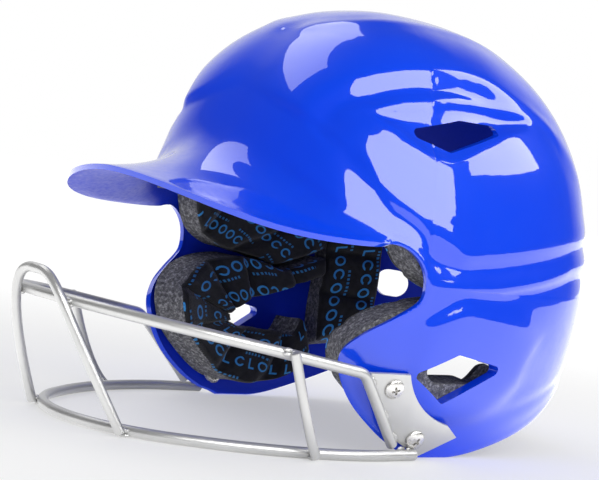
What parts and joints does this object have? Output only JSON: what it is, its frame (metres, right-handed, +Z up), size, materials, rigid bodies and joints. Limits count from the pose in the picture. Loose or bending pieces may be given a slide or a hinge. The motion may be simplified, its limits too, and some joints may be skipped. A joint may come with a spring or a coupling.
{
  "type": "batting helmet",
  "caption": "Glossy blue batting helmet with a front bill, ear flaps, vents, foam pads and a bent wire face guard, standing on its flaps and guard",
  "frame": {"origin": "centre of the bounding box at the table surface", "axes": "+X is the wearer's left and the mirror axis, -Y is the front with the bill and the guard, +Z is up"},
  "size_m": [0.2132, 0.3195, 0.2209],
  "materials": {
    "shell_blue": "high gloss moulded plastic, royal blue",
    "guard_wire": "satin light grey coating on steel wire",
    "hardware": "plain zinc plated steel",
    "foam": "speckled grey closed cell foam",
    "fabric": "black knit with a small light blue print"
  },
  "bodies": {
    "root": {"shell": "shell_blue", "crown_pad": "foam", "forehead_foam": "foam", "forehead_cover": "fabric", "temple_foam_left": "foam", "temple_foam_right": "foam", "temple_cover_left": "fabric", "temple_cover_right": "fabric", "ear_foam_left": "foam", "ear_foam_right": "foam", "ear_cover_left": "fabric", "ear_cover_right": "fabric", "rear_foam_left": "foam", "rear_foam_right": "foam", "rear_cover_left": "fabric", "rear_cover_right": "fabric", "nape_foam": "foam", "nape_cover": "fabric", "upper_wire": "guard_wire", "lower_wire": "guard_wire", "arch_wire": "guard_wire", "side_bar_left": "guard_wire", "side_bar_right": "guard_wire", "guard_plate_left": "guard_wire", "guard_plate_right": "guard_wire", "guard_screws_left": "hardware", "guard_screws_right": "hardware", "guard_nuts_left": "hardware", "guard_nuts_right": "hardware"}
  },
  "joints": []
}
